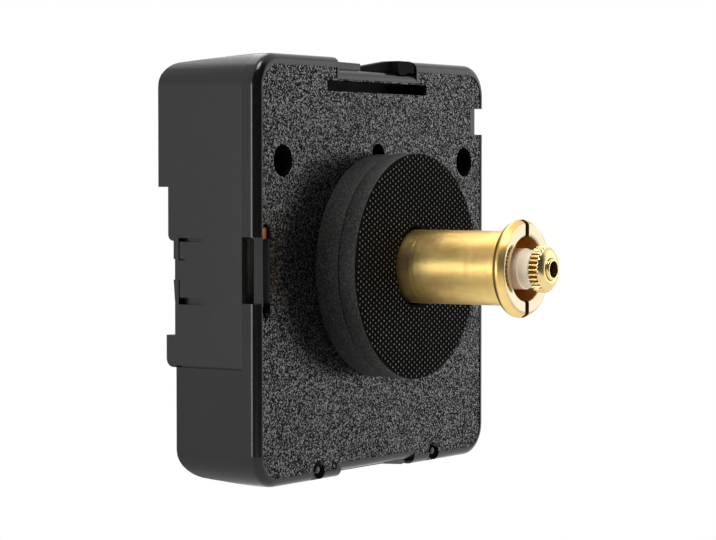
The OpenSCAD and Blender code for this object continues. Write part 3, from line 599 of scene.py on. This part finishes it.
def makeSleeveNut():
    s = sleeve
    face, tube, mouth, bead = s["face"], s["tube"], s["mouth"], s["bead"]
    outline = [(s["thread"], s["back"]), (s["thread"], s["mouthDepth"]), (mouth, s["mouthDepth"])]
    outline += shiftPoints(s["mouthEdge"], mouth, face) + shiftPoints(s["faceEdge"], 0, face)
    outline += arcPoints((s["flange"] - bead, face + s["beadDepth"]), bead, *s["beadTurn"], s["beadSteps"])
    outline += shiftPoints([s["beadFoot"]], 0, face) + shiftPoints([s["filletStart"]], tube, face)
    outline += arcPoints((tube + s["fillet"], face + s["filletDepth"]), s["fillet"], 270, 180,
                         s["filletSteps"])
    outline += shiftPoints(s["backEdge"], tube, s["back"])
    bm = spinProfile(outline, s["steps"])
    # the bore takes the inner brass, and the flange's front face the pale brass, a painted reflection
    for f in bm.faces:
        middle = f.calc_center_median() / mm
        if radiusOf(middle) < mouth + s["slack"]:
            f.material_index = 1
        elif middle.y < face + s["faceBand"]:
            f.material_index = 2
    nut = finishPiece("sleeveNut", bm, [brassTube, brassInner, paleReflectBrassFace, shadedBrassGap], "fixing_nut",
                      ["sleeve_nut"])
    cutBox(nut, Vector((s["slotWidth"], 2 * s["slotDepth"], s["slotLength"])), Vector((0, face, 0)))
    for polygon in nut.data.polygons:
        # the slots' walls and floors get darker brass, painted shade
        middle = polygon.center / mm
        across = abs(middle.x) < s["slotWidth"] / 2 + s["slack"]
        behind = face + s["slack"] < middle.y < face + s["slotDepth"] + s["slack"]
        if across and behind and abs(middle.z) > mouth:
            polygon.material_index = 3
    softenEdges(nut, s["soften"], angle=s["sharp"])


makeSleeveNut()

handNut = {
    "radius": 3.05, "hole": 1.51, "back": -24.88, "front": -26.38, "collar": 0.54,
    "backEdge": [(-0.45, 0), (0, -0.18), (0, -0.6)], "frontEdge": [(0, 0.5), (0, 0.14), (-0.2, -0.02)],
    "dome": [(2.72, -0.16), (2.55, -0.28), (2.35, -0.38), (2.12, -0.47), (1.88, -0.54), (1.66, -0.57)],
    "ribs": 28, "ribSteps": 8, "ribDepth": 0.4, "ribShape": 0.7, "ribBand": 0.05,
    "gapWave": -0.3, "gapBand": 0.42, "gapFacing": 0.5, "sharp": 60,
}


def ribWave(point):
    return math.cos(handNut["ribs"] * math.atan2(point.z, point.x))


def makeHandNut():
    h = handNut
    r, front = h["radius"], h["front"]
    outline = [(h["hole"], h["back"])] + shiftPoints(h["backEdge"], r, h["back"])
    outline += shiftPoints(h["frontEdge"], r, front)
    # a smooth dome runs in to the arbor's end, which stands out of it as a collar
    outline += shiftPoints(h["dome"], 0, front) + [(h["hole"], front - h["collar"])]
    bm = spinProfile(outline, h["ribs"] * h["ribSteps"])
    for vert in bm.verts:
        radius = radiusOf(vert.co)
        if radius > (r - h["ribBand"]) * mm:
            # straight ribs: the rim is drawn in between them
            wave = 0.5 - 0.5 * ribWave(vert.co)
            shrink = 1 - h["ribDepth"] * mm * wave ** h["ribShape"] / radius
            vert.co.x, vert.co.z = vert.co.x * shrink, vert.co.z * shrink
    for face in bm.faces:
        # the bottoms of the gaps between the ribs get darker brass, painted shade
        middle = face.calc_center_median() / mm
        inGap = ribWave(middle) < h["gapWave"] and radiusOf(middle) > r - h["gapBand"]
        if inGap and abs(face.normal.y) < h["gapFacing"]:
            face.material_index = 1
    finishPiece("handNut", bm, [brassBright, shadedBrassGap], "minute_nut", ["hand_nut"],
                sharp=h["sharp"])


makeHandNut()
dressNode("minuteArbor", "minute_arbor", "minute", [brassBright], soften=0.05)
dressNode("hourWheel", "hour_wheel", "hour", [plain["whitePlastic"]], soften=0.05)
dressNode("settingKnob", "setting_knob", "setting", [plain["whitePlastic"]], soften=0.08)
dressNode("batteryPlate", "positive_contact", "case", [plain["platedSteel"]], soften=0.05)
dressNode("batterySpring", "negative_contact", "case", [plain["copperStrip"]], soften=0.05)
print("centre fixing, knob and contacts made")

# inner nodes keep their solids and get a finish each
innerFinish = {
    "centre_bush": brassInner, "middle_plate": plain["platePlastic"], "train_bridge": plain["platePlastic"],
    "plate_screws": plain["platedSteel"], "bridge_screws": plain["platedSteel"],
    "circuit_board": plain["boardGreen"], "driver_chip": plain["chipResin"],
    "quartz_crystal": plain["platedSteel"], "capacitor": plain["ceramicTan"],
    "coil_bobbin": plain["gearPlastic"], "coil_winding": copperWire, "coil_core": plain["stampedIron"],
    "stator": plain["stampedIron"], "rotor_magnet": plain["magnetGrey"], "rotor_arbor": plain["gearPlastic"],
    "intermediate_wheel": plain["gearPlastic"], "seconds_wheel": plain["gearPlastic"],
    "seconds_arbor": plain["platedSteel"], "third_wheel": plain["gearPlastic"],
    "centre_wheel": plain["gearPlastic"], "clutch_spring": brassBright, "motion_wheel": plain["gearPlastic"],
    "setting_arbor": plain["gearPlastic"],
}
for node, material in innerFinish.items():
    for slot in cadNodes[node].material_slots:
        slot.material = material
print("inner pieces finished")

# the camera stands where the photograph was taken from
view = {"turn": -56.19, "rise": 2.11, "distance": 347.82, "right": -2.83, "up": -0.62, "lens": 128.39,
        "sensor": 36, "clipStart": 0.01}


def placeCamera():
    turn, rise = math.radians(view["turn"]), math.radians(view["rise"])
    back = Vector((math.sin(turn) * math.cos(rise), -math.cos(turn) * math.cos(rise), math.sin(rise)))
    right = Vector((math.cos(turn), math.sin(turn), 0))
    up = back.cross(right)
    camera = addObject("camera", bpy.data.cameras.new("camera"))
    camera.data.lens, camera.data.sensor_width = view["lens"], view["sensor"]
    camera.data.clip_start = view["clipStart"]
    place = (back * view["distance"] + right * view["right"] + up * view["up"]) * mm
    camera.matrix_world = Matrix.Translation(place) @ Matrix((right, up, back)).transposed().to_4x4()
    bpy.context.scene.camera = camera


placeCamera()


def mixSurfaces(tree, factor, first, second, end):
    mix = tree.nodes.new("ShaderNodeMixShader")
    tree.links.new(factor, mix.inputs["Fac"])
    tree.links.new(first.outputs[0], mix.inputs[1])
    tree.links.new(second.outputs[0], mix.inputs[2])
    tree.links.new(mix.outputs[0], end.inputs["Surface"])


floorForm = {"drop": 60, "halfSize": 0.45, "tone": (0.86, 0.86, 0.86, 1), "rough": 0.9}


def paleFinish(name):
    # seen by the camera and in reflections as the white ground, lit like any floor otherwise
    material = bpy.data.materials.new(name)
    material.use_nodes = True
    material.cycles.emission_sampling = "NONE"  # so that rough metal sees all of it
    tree = material.node_tree
    shader = tree.nodes["Principled BSDF"]
    shader.inputs["Base Color"].default_value = floorForm["tone"]
    shader.inputs["Roughness"].default_value = floorForm["rough"]
    glow = tree.nodes.new("ShaderNodeEmission")
    glow.inputs["Color"].default_value = pureWhite
    path = tree.nodes.new("ShaderNodeLightPath")
    seen = mathNode(tree, "MAXIMUM", path.outputs["Is Camera Ray"], path.outputs["Is Glossy Ray"])
    mixSurfaces(tree, seen, shader, glow, tree.nodes["Material Output"])
    return material


def makeFloor():
    bm = bmesh.new()
    low = Matrix.Translation((0, 0, cadLow.z - floorForm["drop"] * mm))
    bmesh.ops.create_grid(bm, x_segments=1, y_segments=1, size=floorForm["halfSize"], matrix=low)
    floor = addObject("floor", meshFrom("floor", bm))
    floor.data.materials.append(paleFinish("paleFloor"))


makeFloor()

lamps = {
    "overhead": {"place": (-0.25, -0.2, 0.8), "size": (0.36, 0.36), "power": 4.8},
    "ceiling": {"place": (0.25, 0.5, 0.65), "size": (0.7, 0.7), "power": 3.0},
    "sideBox": {"place": (-0.956, 0.292, -0.03), "size": (0.3, 0.44), "power": 2.4},
    "frontBox": {"place": (0.83, -0.556, 0.05), "size": (0.7, 0.8), "power": 1.2},
}


def placeLamps():
    for name, lamp in lamps.items():
        light = bpy.data.lights.new(name, "AREA")
        light.shape = "RECTANGLE"
        light.size, light.size_y = lamp["size"]
        light.energy = lamp["power"]
        hung = addObject(name, light)
        hung.location = lamp["place"]
        hung.rotation_euler = (-Vector(lamp["place"])).to_track_quat("-Z", "Y").to_euler()


placeLamps()

room = {"white": 1.0, "lit": 0.55, "dark": 0.06, "darkTowards": (-0.559, -0.829, 0.0),
        "darkFrom": 0.2, "darkTo": 0.5}


def paintWorld():
    # a white room with a dark side near the camera, which itself sees plain white
    world = bpy.data.worlds.new("studio")
    bpy.context.scene.world = world
    world.use_nodes = True
    world.cycles.sampling_method = "NONE"  # so that rough metal sees the room's full white
    tree = world.node_tree
    tree.nodes.clear()
    out = tree.nodes.new("ShaderNodeOutputWorld")
    path = tree.nodes.new("ShaderNodeLightPath")
    towards = tree.nodes.new("ShaderNodeVectorMath")
    towards.operation = "DOT_PRODUCT"
    towards.inputs[1].default_value = room["darkTowards"]
    tree.links.new(tree.nodes.new("ShaderNodeTexCoord").outputs["Generated"], towards.inputs[0])
    sides = tree.nodes.new("ShaderNodeMapRange")
    sides.interpolation_type = "SMOOTHSTEP"
    for label, value in (("From Min", room["darkFrom"]), ("From Max", room["darkTo"]),
                         ("To Min", 1.0), ("To Max", room["dark"])):
        sides.inputs[label].default_value = value
    tree.links.new(towards.outputs["Value"], sides.inputs["Value"])
    level = tree.nodes.new("ShaderNodeMix")
    tree.links.new(path.outputs["Is Glossy Ray"], level.inputs["Factor"])
    level.inputs["A"].default_value, level.inputs["B"].default_value = room["lit"], room["white"]
    strength = mathNode(tree, "MULTIPLY", sides.outputs["Result"], level.outputs[0])
    soft, white = (tree.nodes.new("ShaderNodeBackground") for i in range(2))
    soft.inputs["Color"].default_value = pureWhite
    tree.links.new(strength, soft.inputs["Strength"])
    white.inputs["Color"].default_value = pureWhite
    white.inputs["Strength"].default_value = room["white"]
    mixSurfaces(tree, path.outputs["Is Camera Ray"], soft, white, out)


paintWorld()
bpy.context.scene.view_settings.view_transform = "Standard"
print("stage made")
